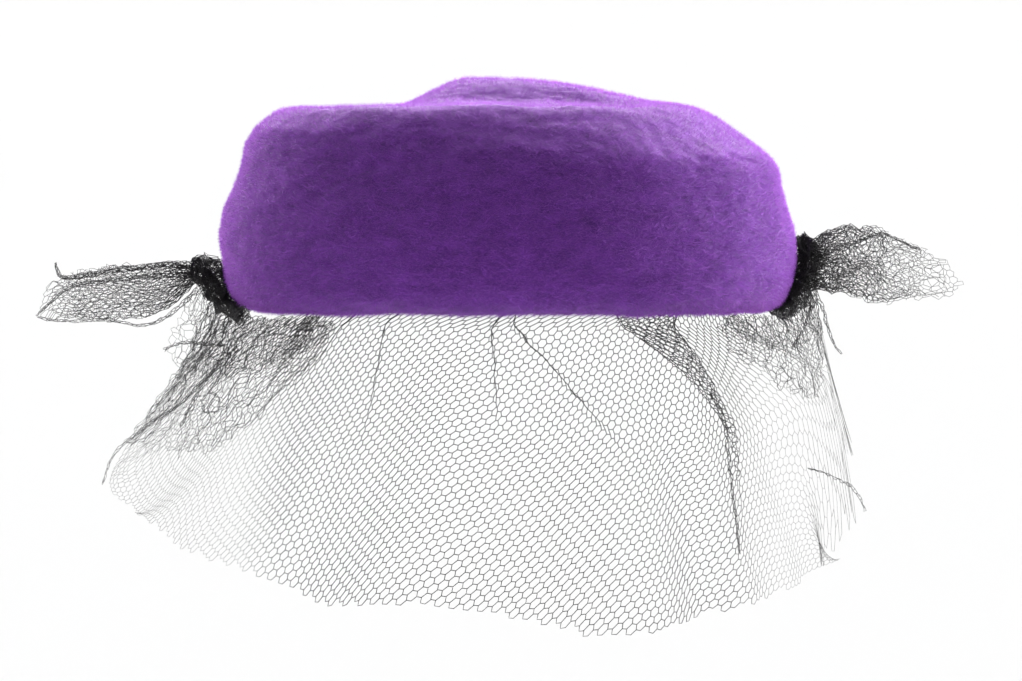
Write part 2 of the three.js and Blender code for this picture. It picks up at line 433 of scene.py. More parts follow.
@dataclass
class FeltCrown:
    """The felt: tip, wall and turned-in edge in one wall, blocked to its shape and brushed."""

    wall: float = 3.0
    nap_room: float = 0.9
    sectors: int = 72
    rings: int = 26
    lump_height: float = 0.8
    tuft_size: float = 4.2
    tuft_height: float = 0.5
    profile: tuple[Ring, ...] = (
        Ring("head opening", 83.0, 2.4),
        Ring("turned-in edge", 87.0, 0.2),
        Ring("roll bottom", 93.0, 0.7),
        Ring("roll", 99.8, 4.4),
        Ring("lower wall", 103.3, 13.5),
        Ring("widest", 104.3, 26.0),
        Ring("wall", 101.8, 37.0),
        Ring("waist", 98.9, 46.8),
        Ring("upper wall", 96.4, 54.0),
        Ring("shoulder", 91.8, 60.2),
        Ring("shoulder top", 84.5, 66.6),
        Ring("ridge", 74.5, 72.4),
        Ring("tip border", 60.0, 71.6),
        Ring("tip", 34.0, 70.8),
    )
    tip_dents: tuple[TipDent, ...] = (
        TipDent(12, -30, 24, 10, 2.2),
        TipDent(40, -38, 13, 13, 3.0),
        TipDent(34, 46, 20, 20, 2.5),
        TipDent(-52, 18, 16, 34, 1.6),
        TipDent(-8, -34, 5, 4, 1.2),
        TipDent(5, -36, 4, 3, 1.0),
        TipDent(28, -38, 7, 3, 1.2),
    )
    wall_dents: tuple[WallDent, ...] = (
        WallDent(-92, 33, 44, 10, -1.6),
        WallDent(-92, 46, 26, 4, 0.8),
        WallDent(-80, 64, 40, 7, 1.4),
        WallDent(92, 38, 40, 12, 1.8),
        WallDent(62, 58, 16, 8, 1.8),
        WallDent(-20, 56, 30, 9, 1.0),
        WallDent(150, 50, 30, 12, 2.0),
        WallDent(-140, 34, 34, 12, 1.4),
        WallDent(58, 53, 4, 2.2, 1.8),
        WallDent(63, 46, 3, 4, 1.2),
        WallDent(67, 40, 2.5, 6, 1.2),
        WallDent(-66, 56, 5, 4, 1.0),
        WallDent(35, 24, 1.3, 2.2, 1.4),
        WallDent(-17, 14, 1.3, 2.2, 1.2),
    )

    def block(self) -> bpy.types.Object:
        """Models the felt ring by ring from the head opening up to the tip.

        Returns:
            The finished felt, at the origin.
        """
        knots = np.array([(ring.reach, ring.height) for ring in self.profile])
        line = flowing_line(knots, np.linspace(0.0, 1.0, self.rings)) * MM
        deselect_all()
        bpy.ops.mesh.primitive_circle_add(
            vertices=self.sectors, radius=line[0][0], location=(0, 0, line[0][1])
        )
        felt = rename(bpy.context.object, "felt_body")
        settle(felt)
        bpy.ops.object.mode_set(mode="EDIT")
        bpy.ops.mesh.select_all(action="SELECT")
        for (reach, height), (wider, higher) in zip(line[:-1], line[1:]):
            bpy.ops.mesh.extrude_region_move(
                TRANSFORM_OT_translate={"value": (0, 0, higher - height)}
            )
            bpy.ops.transform.resize(
                value=(wider / reach, wider / reach, 1), center_override=(0, 0, higher)
            )
        bpy.ops.mesh.fill_grid()
        bpy.ops.mesh.select_all(action="SELECT")
        bpy.ops.mesh.normals_make_consistent(inside=False)
        bpy.ops.mesh.vertices_smooth(factor=0.4, repeat=1)
        bpy.ops.transform.resize(value=(1, OVAL, 1), center_override=(0, 0, 0))
        bpy.ops.object.mode_set(mode="OBJECT")
        move_points(felt, self.shaped(points_of(felt) / MM) * MM)
        self.thicken(felt)
        self.felt_up(felt)
        bpy.ops.object.shade_smooth()
        return felt

    def shaped(self, points: np.ndarray) -> np.ndarray:
        """Dips, leans, swells and dents the round form as it sits on its block.

        Args:
            points: places on the round form, in millimetres.

        Returns:
            The same places on the real hat.
        """
        x, y, z = points.T
        side = fade(x, -42, -8) * (1 - fade(x, 14, 76))
        depth = fade(y, -66, 0) * (1 - fade(y, 50, 98))
        lift = 11.8 * side * depth
        for dent in self.tip_dents:
            lift = lift - dent.depth * bell(x - dent.x, dent.spread_x) * bell(y - dent.y, dent.spread_y)
        turn = np.degrees(np.arctan2(x, -y / OVAL))
        inwards = np.zeros_like(x)
        for dent in self.wall_dents:
            apart = (turn - dent.turn + 180.0) % 360.0 - 180.0
            inwards += dent.depth * bell(apart, dent.spread_turn) * bell(z - dent.height, dent.spread_height)
        reach = np.maximum(np.hypot(x, y), 1.0)
        ear_dip = 2.0 * (x / 100.0) ** 2 * (1 - fade(z, 2, 34))
        return np.stack(
            [
                x * (1 - inwards / reach) - 7.0 * fade(z, 51, 67),
                y * (1 - inwards / reach),
                z + lift * fade(z, 50, 70) - ear_dip,
            ],
            axis=1,
        )

    def thicken(self, felt: bpy.types.Object) -> None:
        """Gives the felt its wall and marks the inner face in the vertex group inner_face."""
        felt.vertex_groups.new(name="inner_face")
        wall = felt.modifiers.new("wall", "SOLIDIFY")
        wall.thickness = (self.wall - self.nap_room) * MM
        wall.offset = -1.0
        wall.shell_vertex_group = "inner_face"
        smooth = felt.modifiers.new("smooth", "SUBSURF")
        smooth.levels = 2
        smooth.render_levels = 2
        apply_modifiers(felt)

    def felt_up(self, felt: bpy.types.Object) -> None:
        """Sinks the outer face by the nap's room and gives it the lumps and matted hollows of brushed felt."""
        points = points_of(felt) / MM
        normals = np.empty(3 * len(points))
        felt.data.vertices.foreach_get("normal", normals)
        normals = normals.reshape(-1, 3)
        group = felt.vertex_groups["inner_face"].index
        inner = np.array(
            [sum(g.weight for g in v.groups if g.group == group) for v in felt.data.vertices]
        )
        lumps = np.array(
            [
                noise.fractal(Vector((p[0] / 26.0, p[1] / 26.0, p[2] / 9.0)), 0.9, 2.1, 3)
                for p in points
            ]
        )
        tufts = np.array([noise.noise(Vector(p) / self.tuft_size) for p in points])
        push = self.lump_height * lumps + self.tuft_height * tufts - self.nap_room
        push = push * (1.0 - np.clip(inner, 0.0, 1.0))
        move_points(felt, (points + normals * push[:, None]) * MM)


@dataclass(frozen=True)
class NapPatch:
    """One brushed stretch of the nap, and which of the felt's outer faces it covers."""

    name: str
    front: bool
    tip: bool
    fibres: int
    seed: int


@dataclass
class BrushedNap:
    """The long fibres of the velour, brushed level round the hat."""

    fibre_length: float = 2.2
    fibre_width: float = 0.14
    greatest_lift: float = 0.95
    tip_from: float = 0.62
    patches: tuple[NapPatch, ...] = (
        NapPatch("nap_front", True, False, 190000, 3),
        NapPatch("nap_back", False, False, 150000, 5),
        NapPatch("nap_tip", False, True, 125000, 7),
    )

    def fibre(self) -> bpy.types.Object:
        """Models one fibre: a tapering blade along +X with its flat side up."""
        deselect_all()
        bpy.ops.mesh.primitive_circle_add(
            vertices=3, radius=1.0, fill_type="NGON", rotation=(0, 0, -math.pi / 2)
        )
        blade = rename(bpy.context.object, "nap_fibre")
        settle(blade)
        points = points_of(blade)
        points[:, 0] -= points[:, 0].min()
        points[:, 0] *= self.fibre_length * MM / points[:, 0].max()
        points[:, 1] *= 0.5 * self.fibre_width * MM / points[:, 1].max()
        points[:, 2] = 0.0
        move_points(blade, points)
        return blade

    def brushing(self) -> bpy.types.NodeTree:
        """Builds the nodes that plant the fibres and lay them round the hat.

        Returns:
            A geometry group with the inputs Felt, Fibre, Density and Seed.
        """
        group = bpy.data.node_groups.new("brush the nap", "GeometryNodeTree")
        socket(group, "Felt", "NodeSocketGeometry")
        socket(group, "Fibre", "NodeSocketObject")
        socket(group, "Density", "NodeSocketFloat")
        socket(group, "Seed", "NodeSocketInt")
        socket(group, "Nap", "NodeSocketGeometry", outwards=True)
        nodes, link = group.nodes, group.links.new
        inputs = nodes.new("NodeGroupInput")
        outputs = nodes.new("NodeGroupOutput")

        plant = nodes.new("GeometryNodeDistributePointsOnFaces")
        link(inputs.outputs["Felt"], plant.inputs["Mesh"])
        link(inputs.outputs["Density"], plant.inputs["Density"])
        link(inputs.outputs["Seed"], plant.inputs["Seed"])

        def maths(operation: str, first: bpy.types.NodeSocket, second: object) -> bpy.types.NodeSocket:
            """Adds a vector sum and returns its vector."""
            step = nodes.new("ShaderNodeVectorMath")
            step.operation = operation
            link(first, step.inputs[0])
            if isinstance(second, bpy.types.NodeSocket):
                link(second, step.inputs["Scale" if operation == "SCALE" else 1])
            elif operation == "SCALE":
                step.inputs["Scale"].default_value = second
            else:
                step.inputs[1].default_value = second
            return step.outputs["Value" if operation == "DOT_PRODUCT" else "Vector"]

        place = nodes.new("GeometryNodeInputPosition").outputs["Position"]
        swirl = maths("NORMALIZE", maths("CROSS_PRODUCT", place, (0.0, 0.0, -1.0)), (0, 0, 0))
        eddies = nodes.new("ShaderNodeTexNoise")
        eddies.inputs["Scale"].default_value = 75.0
        eddies.inputs["Detail"].default_value = 2.0
        link(place, eddies.inputs["Vector"])
        drift = maths("SCALE", maths("SUBTRACT", eddies.outputs["Color"], (0.5, 0.5, 0.5)), 1.5)
        stray = nodes.new("FunctionNodeRandomValue")
        stray.data_type = "FLOAT_VECTOR"
        stray.inputs["Min"].default_value = (-0.9, -0.9, -0.9)
        stray.inputs["Max"].default_value = (0.9, 0.9, 0.9)
        link(inputs.outputs["Seed"], stray.inputs["Seed"])
        coin = nodes.new("FunctionNodeRandomValue")
        coin.data_type = "INT"
        coin.inputs[4].default_value = 0
        coin.inputs[5].default_value = 1
        link(inputs.outputs["Seed"], coin.inputs["Seed"])
        either_way = nodes.new("ShaderNodeMath")
        either_way.operation = "MULTIPLY_ADD"
        either_way.inputs[1].default_value = 2.0
        either_way.inputs[2].default_value = -1.0
        link(coin.outputs[2], either_way.inputs[0])
        brushed = maths("SCALE", swirl, either_way.outputs["Value"])
        loose = maths("ADD", maths("ADD", brushed, drift), stray.outputs["Value"])
        normal = plant.outputs["Normal"]
        out_of_felt = maths("SCALE", normal, maths("DOT_PRODUCT", loose, normal))
        flat = maths("NORMALIZE", maths("SUBTRACT", loose, out_of_felt), (0, 0, 0))
        chance = nodes.new("FunctionNodeRandomValue")
        link(inputs.outputs["Seed"], chance.inputs["Seed"])
        rare = nodes.new("ShaderNodeMath")
        rare.operation = "POWER"
        rare.inputs[1].default_value = 2.0
        link(chance.outputs[1], rare.inputs[0])
        lift = nodes.new("ShaderNodeMath")
        lift.operation = "MULTIPLY_ADD"
        lift.inputs[1].default_value = self.greatest_lift
        lift.inputs[2].default_value = 0.12
        link(rare.outputs["Value"], lift.inputs[0])
        along = maths("ADD", flat, maths("SCALE", normal, lift.outputs["Value"]))
        aim = nodes.new("FunctionNodeAxesToRotation")
        aim.primary_axis = "X"
        aim.secondary_axis = "Z"
        link(along, aim.inputs[0])
        link(normal, aim.inputs[1])

        size = nodes.new("FunctionNodeRandomValue")
        size.inputs[2].default_value = 0.55
        size.inputs[3].default_value = 1.15
        link(inputs.outputs["Seed"], size.inputs["Seed"])
        blade = nodes.new("GeometryNodeObjectInfo")
        blade.inputs["As Instance"].default_value = True
        link(inputs.outputs["Fibre"], blade.inputs["Object"])
        sow = nodes.new("GeometryNodeInstanceOnPoints")
        link(plant.outputs["Points"], sow.inputs["Points"])
        link(blade.outputs["Geometry"], sow.inputs["Instance"])
        link(aim.outputs["Rotation"], sow.inputs["Rotation"])
        link(size.outputs[1], sow.inputs["Scale"])
        shade = nodes.new("FunctionNodeRandomValue")
        link(inputs.outputs["Seed"], shade.inputs["Seed"])
        tufts = nodes.new("ShaderNodeTexNoise")
        tufts.inputs["Scale"].default_value = 800.0
        tufts.inputs["Detail"].default_value = 1.0
        link(place, tufts.inputs["Vector"])
        clumped = nodes.new("ShaderNodeMath")
        clumped.operation = "MULTIPLY_ADD"
        clumped.inputs[1].default_value = 1.3
        clumped.inputs[2].default_value = -0.4
        link(tufts.outputs["Fac"], clumped.inputs[0])
        own = nodes.new("ShaderNodeMath")
        own.operation = "MULTIPLY_ADD"
        own.inputs[1].default_value = 0.6
        link(shade.outputs[1], own.inputs[0])
        link(clumped.outputs["Value"], own.inputs[2])
        keep = nodes.new("GeometryNodeStoreNamedAttribute")
        keep.domain = "INSTANCE"
        keep.inputs["Name"].default_value = "shade"
        link(sow.outputs["Instances"], keep.inputs["Geometry"])
        link(own.outputs["Value"], keep.inputs["Value"])
        real = nodes.new("GeometryNodeRealizeInstances")
        link(keep.outputs["Geometry"], real.inputs["Geometry"])
        link(real.outputs["Geometry"], outputs.inputs["Nap"])
        return group

    def ground(self, felt: bpy.types.Object, patch: NapPatch) -> bpy.types.Object:
        """Copies the stretch of the felt's outer face that one patch grows on.

        Args:
            felt: the finished felt.
            patch: which stretch.

        Returns:
            An open mesh of that stretch.
        """
        pick(felt)
        bpy.ops.object.duplicate()
        ground = rename(bpy.context.object, patch.name)
        group = ground.vertex_groups["inner_face"].index
        mesh = ground.data
        inner = np.array([any(g.group == group and g.weight > 0.4 for g in v.groups) for v in mesh.vertices])
        centres = np.empty(3 * len(mesh.polygons))
        mesh.polygons.foreach_get("center", centres)
        centres = centres.reshape(-1, 3) / MM
        normals = np.empty(3 * len(mesh.polygons))
        mesh.polygons.foreach_get("normal", normals)
        normals = normals.reshape(-1, 3)
        on_tip = (normals[:, 2] > self.tip_from) & (centres[:, 2] > 50.0)
        in_front = centres[:, 1] < 0.0
        inside = np.array([any(inner[i] for i in face.vertices) for face in mesh.polygons])
        wanted = ~inside & (on_tip if patch.tip else ~on_tip & (in_front == patch.front))
        bpy.ops.object.mode_set(mode="EDIT")
        bpy.ops.mesh.select_mode(type="FACE")
        bpy.ops.mesh.select_all(action="DESELECT")
        bpy.ops.object.mode_set(mode="OBJECT")
        mesh.polygons.foreach_set("select", ~wanted)
        bpy.ops.object.mode_set(mode="EDIT")
        bpy.ops.mesh.delete(type="FACE")
        bpy.ops.object.mode_set(mode="OBJECT")
        return ground

    def raise_nap(self, felt: bpy.types.Object) -> list[bpy.types.Object]:
        """Grows every patch of fibres on the felt.

        Args:
            felt: the finished felt.

        Returns:
            One object of joined fibres for each patch.
        """
        blade = self.fibre()
        brushing = self.brushing()
        grown = []
        for patch in self.patches:
            nap = self.ground(felt, patch)
            area = sum(face.area for face in nap.data.polygons)
            brush = nap.modifiers.new("brush", "NODES")
            brush.node_group = brushing
            names = {item.name: item.identifier for item in brushing.interface.items_tree}
            brush[names["Fibre"]] = blade
            brush[names["Density"]] = patch.fibres / area
            brush[names["Seed"]] = patch.seed
            apply_modifiers(nap)
            nap.vertex_groups.clear()
            grown.append(nap)
        bpy.data.objects.remove(blade)
        return grown


# ---------------------------------------------------------------- the net


@dataclass(frozen=True)
class Station:
    """One line down a hanging net: its gathered top, its middle and its hem."""

    turn: float
    top_reach: float
    top_height: float
    mid_reach: float
    mid_height: float
    hem_reach: float
    hem_height: float

    def line(self, reach: float, height: float) -> tuple[float, float, float]:
        """A place at this station's turn, in millimetres."""
        angle = math.radians(self.turn)
        return (reach * math.sin(angle), -OVAL * reach * math.cos(angle), height)


@dataclass(frozen=True)
class Fold:
    """A standing fold that grows towards the hem."""

    turn: float
    width: float
    depth: float


@dataclass(frozen=True)
class Pleat:
    """Cloth folded back on itself at the top edge.

    It takes up some millimetres, packed into that share of them, and opens out on the way down while its
    line drifts across the cloth.
    """

    turn: float
    taken: float
    packing: float = 0.6
    runs_down: float = 0.4
    drift: float = 0.0
    stands_out: float = 2.0
    fall: float = 0.8
    least_spread: float = 0.8

    def left_in(self, down: np.ndarray) -> np.ndarray:
        """How many millimetres are still taken up at each share of the way down."""
        return self.taken * np.clip(1.0 - down / self.runs_down, 0.0, 1.0) ** self.fall


@dataclass
class Hung:
    """Points of a hung net: their places, whether they are on the cut, their depth, and how bunched they are."""

    places: np.ndarray
    kept: np.ndarray
    down: np.ndarray
    bunched: np.ndarray


@dataclass
class Drape:
    """Where each point of a flat cut of net lies once it is gathered and hung."""

    stations: tuple[Station, ...]
    folds: tuple[Fold, ...] = ()
    pleats: tuple[Pleat, ...] = ()
    fullness: float = 1.04
    slope_share: float = 0.1
    columns: int = 360
    rows: int = 40
    surface: np.ndarray = field(init=False)
    along: np.ndarray = field(init=False)
    drop: np.ndarray = field(init=False)

    def __post_init__(self) -> None:
        """Works out the hanging surface and its lengths."""
        at = np.linspace(0.0, 1.0, self.columns + 1)
        edges = [
            flowing_line(np.array([s.line(getattr(s, r), getattr(s, h)) for s in self.stations]), at)
            for r, h in (("top_reach", "top_height"), ("mid_reach", "mid_height"), ("hem_reach", "hem_height"))
        ]
        down = np.linspace(0.0, 1.0, self.rows + 1)[:, None, None]
        surface = (1 - down) ** 2 * edges[0] + 2 * down * (1 - down) * edges[1] + down**2 * edges[2]
        turn = np.degrees(np.arctan2(surface[..., 0], -surface[..., 1] / OVAL))
        outwards = surface * (1.0, 1.0, 0.0)
        outwards /= np.linalg.norm(outwards, axis=-1, keepdims=True)
        push = sum(
            (f.depth * bell(turn - f.turn, f.width) * down[..., 0] ** 1.5 for f in self.folds),
            np.zeros_like(turn),
        )
        self.surface = surface + outwards * push[..., None]
        steps = np.linalg.norm(np.diff(self.surface, axis=1) * (1.0, 1.0, self.slope_share), axis=-1)
        self.along = np.concatenate([np.zeros((self.rows + 1, 1)), np.cumsum(steps, axis=1)], axis=1)
        falls = np.linalg.norm(np.diff(self.surface, axis=0), axis=-1)
        self.drop = falls.sum(axis=0)

    @property
    def width(self) -> float:
        """The flat cut's width in millimetres."""
        return self.fullness * float(self.along[-1, -1])

    @property
    def length(self) -> float:
        """The flat cut's greatest length in millimetres."""
        return float(self.drop.max())

    def takes(self, down: np.ndarray) -> list[np.ndarray]:
        """What each pleat takes up at each depth; the end ones take what each half has left over."""
        taken = [pleat.left_in(down) for pleat in self.pleats]
        if taken:
            row_length = np.interp(down, np.linspace(0, 1, self.rows + 1), self.along[:, -1])
            half = 0.485 * (self.width - row_length)
            for end, side in ((0, -1.0), (-1, 1.0)):
                others = sum(t for p, t in zip(self.pleats[1:-1], taken[1:-1]) if side * p.turn > 0.0)
                taken[end] = np.maximum(half - others, 0.0)
        return taken

    def gathered(self, across: np.ndarray, down: np.ndarray) -> tuple[np.ndarray, np.ndarray, np.ndarray]:
        """Gathers the cut into its pleats.

        Args:
            across: distances along the flat cut, in millimetres.
            down: shares of the way down, from 0 to 1.

        Returns:
            The share of each row's length that a point lies at, how far it stands out in millimetres, and
            how bunched it is, from 0 to 1.
        """
        at_top = [float(t[0]) for t in self.takes(np.zeros(1))]
        top_length = self.width - sum(at_top)
        turns = [s.turn for s in self.stations]
        columns = np.linspace(0.0, 1.0, len(turns))
        placed = across.copy()
        left = np.full_like(across, self.width)
        stands = np.zeros_like(across)
        bunched = np.zeros_like(across)
        before = 0.0
        for pleat, top, taken in zip(self.pleats, at_top, self.takes(down)):
            share = float(np.interp(pleat.turn, turns, columns))
            lengths = self.along[0] / self.along[0, -1]
            place = float(np.interp(share, np.linspace(0, 1, self.columns + 1), lengths))
            middle = place * top_length + before + 0.5 * top
            before += top
            spread = pleat.packing * taken + pleat.least_spread
            away = (across - middle - pleat.drift * down / pleat.runs_down) / spread
            done = fade(away, -0.5, 0.5)
            inside = 4.0 * done * (1.0 - done) * np.clip(taken / 6.0, 0.0, 1.0)
            placed -= taken * done
            left -= taken
            stands += pleat.stands_out * inside
            bunched = np.maximum(bunched, inside)
        return placed / left, stands, bunched

    def hung(self, across: np.ndarray, down_cloth: np.ndarray) -> Hung:
        """Hangs points of the flat cut.

        Args:
            across: distances along the cut's top edge, in millimetres.
            down_cloth: distances down the cut, in millimetres.

        Returns:
            The hung points.
        """
        flat_columns = np.linspace(0.0, 1.0, self.columns + 1)
        down = down_cloth / np.interp(across / self.width, flat_columns, self.drop)
        share, _, _ = self.gathered(across, np.clip(down, 0.0, 1.0))
        down = down_cloth / np.interp(share, flat_columns, self.drop)
        share, stands, bunched = self.gathered(across, np.clip(down, 0.0, 1.0))
        kept = (down >= 0.0) & (down <= 1.0) & (across >= 0.0) & (across <= self.width)
        row = np.clip(down, 0.0, 1.0) * self.rows
        upper = np.minimum(row.astype(int), self.rows - 1)
        part = (row - upper)[:, None]
        places = np.zeros((2, len(across), 3))
        for step in (0, 1):
            for line in np.unique(upper):
                chosen = upper == line
                lengths = self.along[line + step]
                where = share[chosen] * lengths[-1]
                for axis in range(3):
                    places[step, chosen, axis] = np.interp(where, lengths, self.surface[line + step, :, axis])
        hung = places[0] * (1.0 - part) + places[1] * part
        outwards = hung * (1.0, 1.0, 0.0)
        outwards /= np.linalg.norm(outwards, axis=1, keepdims=True)
        return Hung(hung + outwards * stands[:, None], kept, down, bunched)


@dataclass(frozen=True)
class Cell:
    """One six-sided cell of the net: the steps to its neighbours, in millimetres on the flat cloth."""

    along: tuple[float, float] = (3.5, 0.0)
    over: tuple[float, float] = (-0.66, 2.14)

    def corners(self) -> np.ndarray:
        """The cell's six corners in order, each the middle of three neighbouring cells."""
        along, over = np.array(self.along), np.array(self.over)
        across = along + over
        half = np.array([(along + across) / 3.0, (across + over) / 3.0, (over - along) / 3.0])
        return np.concatenate([half, -half])


@dataclass
class Netting:
    """Makes flat hexagonal net, cell by cell, and turns its lines into thread."""

    cell: Cell = field(default_factory=Cell)
    thread: float = 0.31
    finer_at_ends: float = 0.58
    finer_from: tuple[float, float] = (72.0, 96.0)
    merge: float = 0.02

    def weave(self, name: str, width: float, length: float, grain: float) -> bpy.types.Object:
        """Makes a rectangle of flat net as a mesh of edges, from the origin towards +X and +Y.

        Args:
            name: the piece's name.
            width: its size along X in millimetres.
            length: its size along Y in millimetres.
            grain: the turn of its rows in degrees.

        Returns:
            The net, in millimetres.
        """
        turn = math.radians(grain)
        box = np.array([(x, y) for x in (0.0, width) for y in (0.0, length)])
        unturned = box @ np.array([(math.cos(turn), -math.sin(turn)), (math.sin(turn), math.cos(turn))])
        low, high = unturned.min(axis=0), unturned.max(axis=0)
        along, over = np.array(self.cell.along), np.array(self.cell.over)
        two_rows = along + 2.0 * over
        lean = two_rows[0] / two_rows[1] * (high[1] - low[1])
        start = low - 2.0 * two_rows - (lean, 0.0) - 2.0 * along
        deselect_all()
        bpy.ops.mesh.primitive_circle_add(vertices=6, radius=1.0, fill_type="NOTHING")
        net = rename(bpy.context.object, name)
        corners = self.cell.corners() + start
        move_points(net, np.column_stack([corners, np.zeros(6)]))
        bpy.ops.object.mode_set(mode="EDIT")
        bpy.ops.mesh.select_all(action="SELECT")
        bpy.ops.mesh.duplicate_move(TRANSFORM_OT_translate={"value": (*(along + over), 0.0)})
        bpy.ops.object.mode_set(mode="OBJECT")
        columns = math.ceil((high[0] - low[0] + lean) / along[0]) + 5
        rows = math.ceil((high[1] - low[1]) / two_rows[1]) + 4
        for count, step in ((columns, along), (rows, two_rows)):
            row = net.modifiers.new("repeat", "ARRAY")
            row.count = count
            row.use_relative_offset = False
            row.use_constant_offset = True
            row.constant_offset_displace = (step[0], step[1], 0.0)
        apply_modifiers(net)
        bpy.ops.object.mode_set(mode="EDIT")
        bpy.ops.mesh.select_all(action="SELECT")
        bpy.ops.mesh.remove_doubles(threshold=self.merge)
        bpy.ops.object.mode_set(mode="OBJECT")
        net.rotation_euler.z = turn
        settle(net)
        points = points_of(net)
        outside = (points[:, 0] < 0) | (points[:, 0] > width) | (points[:, 1] < 0) | (points[:, 1] > length)
        delete_points(net, outside)
        return net

    def spin_thread(self, net: bpy.types.Object) -> None:
        """Gives every edge of a hung net its thread, finer towards both ends of the veil."""
        group = self.spinning()
        sideways = np.abs(points_of(net)[:, 0]) / MM
        fineness = net.data.attributes.new("fineness", "FLOAT", "POINT")
        fineness.data.foreach_set("value", 1.0 - self.finer_at_ends * fade(sideways, *self.finer_from))
        spin = net.modifiers.new("thread", "NODES")
        spin.node_group = group
        apply_modifiers(net)

    def spinning(self) -> bpy.types.NodeTree:
        """Builds the nodes that turn edges into three-sided threads."""
        group = bpy.data.node_groups.new("spin thread", "GeometryNodeTree")
        socket(group, "Net", "NodeSocketGeometry")
        socket(group, "Thread", "NodeSocketGeometry", outwards=True)
        nodes, link = group.nodes, group.links.new
        inputs = nodes.new("NodeGroupInput")
        outputs = nodes.new("NodeGroupOutput")
        lines = nodes.new("GeometryNodeMeshToCurve")
        link(inputs.outputs["Net"], lines.inputs["Mesh"])
        section = nodes.new("GeometryNodeCurvePrimitiveCircle")
        section.inputs["Resolution"].default_value = 3
        section.inputs["Radius"].default_value = 0.5 * self.thread * MM
        fineness = nodes.new("GeometryNodeInputNamedAttribute")
        fineness.inputs["Name"].default_value = "fineness"
        sweep = nodes.new("GeometryNodeCurveToMesh")
        link(lines.outputs["Curve"], sweep.inputs["Curve"])
        link(fineness.outputs["Attribute"], sweep.inputs["Scale"])
        link(section.outputs["Curve"], sweep.inputs["Profile Curve"])
        link(sweep.outputs["Mesh"], outputs.inputs["Thread"])
        return group


@dataclass
class NetPiece:
    """A hanging piece of the veil: its drape, the turn of its rows, its layers and how crumpled it is."""

    name: str
    node: str
    drape: Drape
    grain: float = 0.0
    crumple: float = 0.6
    crumple_size: float = 24.0
    bubbles: float = 0.9
    layers: int = 1
    seed: float = 1.0
    shorter: float = 0.42

    def hang(self, netting: Netting) -> bpy.types.Object:
        """Weaves the flat cut, hangs it and spins its threads.

        Args:
            netting: makes the net.

        Returns:
            The hung net.
        """
        return joined([self.layer(netting, count) for count in range(self.layers)], self.name)

    def layer(self, netting: Netting, count: int) -> bpy.types.Object:
        """Hangs one layer; each one after the first is cut a little shorter and lies another way.

        Args:
            netting: makes the net.
            count: the layer's number from 0.

        Returns:
            The hung layer.
        """
        net = netting.weave(self.name, self.drape.width, self.drape.length, self.grain + 37.0 * count)
        flat = points_of(net)
        hung = self.drape.hung(flat[:, 0], self.drape.length - flat[:, 1])
        seed = self.seed + 2.3 * count
        places = ruffled(hung.places, self.crumple, self.crumple_size, seed)
        loose = np.maximum(hung.bunched, min(1.0, self.layers - 1))[:, None]
        places = ruffled(places, self.bubbles * loose, 3.6, seed + 5.0)
        move_points(net, places * MM)
        delete_points(net, ~hung.kept | (hung.down > 1.0 - self.shorter * count))
        trim_stubs(net)
        netting.spin_thread(net)
        return net

    def flat_size(self) -> tuple[float, float]:
        """The width and length in metres of the flat cut, with its layers laid end to end."""
        return self.drape.width * MM, self.layers * self.drape.length * MM


@dataclass(frozen=True)
class Bend:
    """A place on a strand's middle line, and the strand's radius there."""

    x: float
    y: float
    z: float
    radius: float


@dataclass
class NetRoll:
    """A strip of net rolled up lengthwise into a strand."""

    bends: tuple[Bend, ...]
    turns: float = 1.5
    twist: float = 0.25
    fullness: float = 1.0
    crumple: float = 0.35
    crumple_size: float = 3.0
    grain: float = 17.0

    def roll(self, netting: Netting) -> bpy.types.Object:
        """Weaves the strip and rolls it up along its line.

        Args:
            netting: makes the net.

        Returns:
            The strand.
        """
        knots = np.array([(b.x, b.y, b.z, b.radius) for b in self.bends])
        line = flowing_line(knots, np.linspace(0.0, 1.0, 160))
        steps = np.linalg.norm(np.diff(line[:, :3], axis=0), axis=1)
        along = np.concatenate([[0.0], np.cumsum(steps)])
        width = 2.0 * math.pi * self.turns * float(line[:, 3].max())
        net = netting.weave("net_strand", self.fullness * along[-1], width, self.grain)
        flat = points_of(net)
        place = flat[:, 0] / self.fullness
        heading = np.gradient(line[:, :3], along, axis=0)
        middle, ahead = (
            np.stack([np.interp(place, along, table[:, axis]) for axis in range(3)], axis=1)
            for table in (line, heading)
        )
        ahead /= np.linalg.norm(ahead, axis=1, keepdims=True)
        level = np.cross(FRONT, ahead)
        level /= np.linalg.norm(level, axis=1, keepdims=True)
        rise = np.cross(ahead, level)
        wound = flat[:, 1] / width
        angle = 2.0 * math.pi * self.turns * wound + self.twist * place
        radius = np.interp(place, along, line[:, 3]) * (0.5 + 0.5 * wound)
        places = (
            middle
            + (radius * np.cos(angle))[:, None] * level
            + (radius * np.sin(angle))[:, None] * rise
        )
        places = ruffled(places, self.crumple, self.crumple_size, float(knots[0].sum()))
        move_points(net, places * MM)
        netting.spin_thread(net)
        return net


@dataclass(frozen=True)
class Section:
    """One section of a bunched end of net: its distance out, and its middle, height and thickness."""

    out: float
    back: float
    middle: float
    tall: float
    thick: float


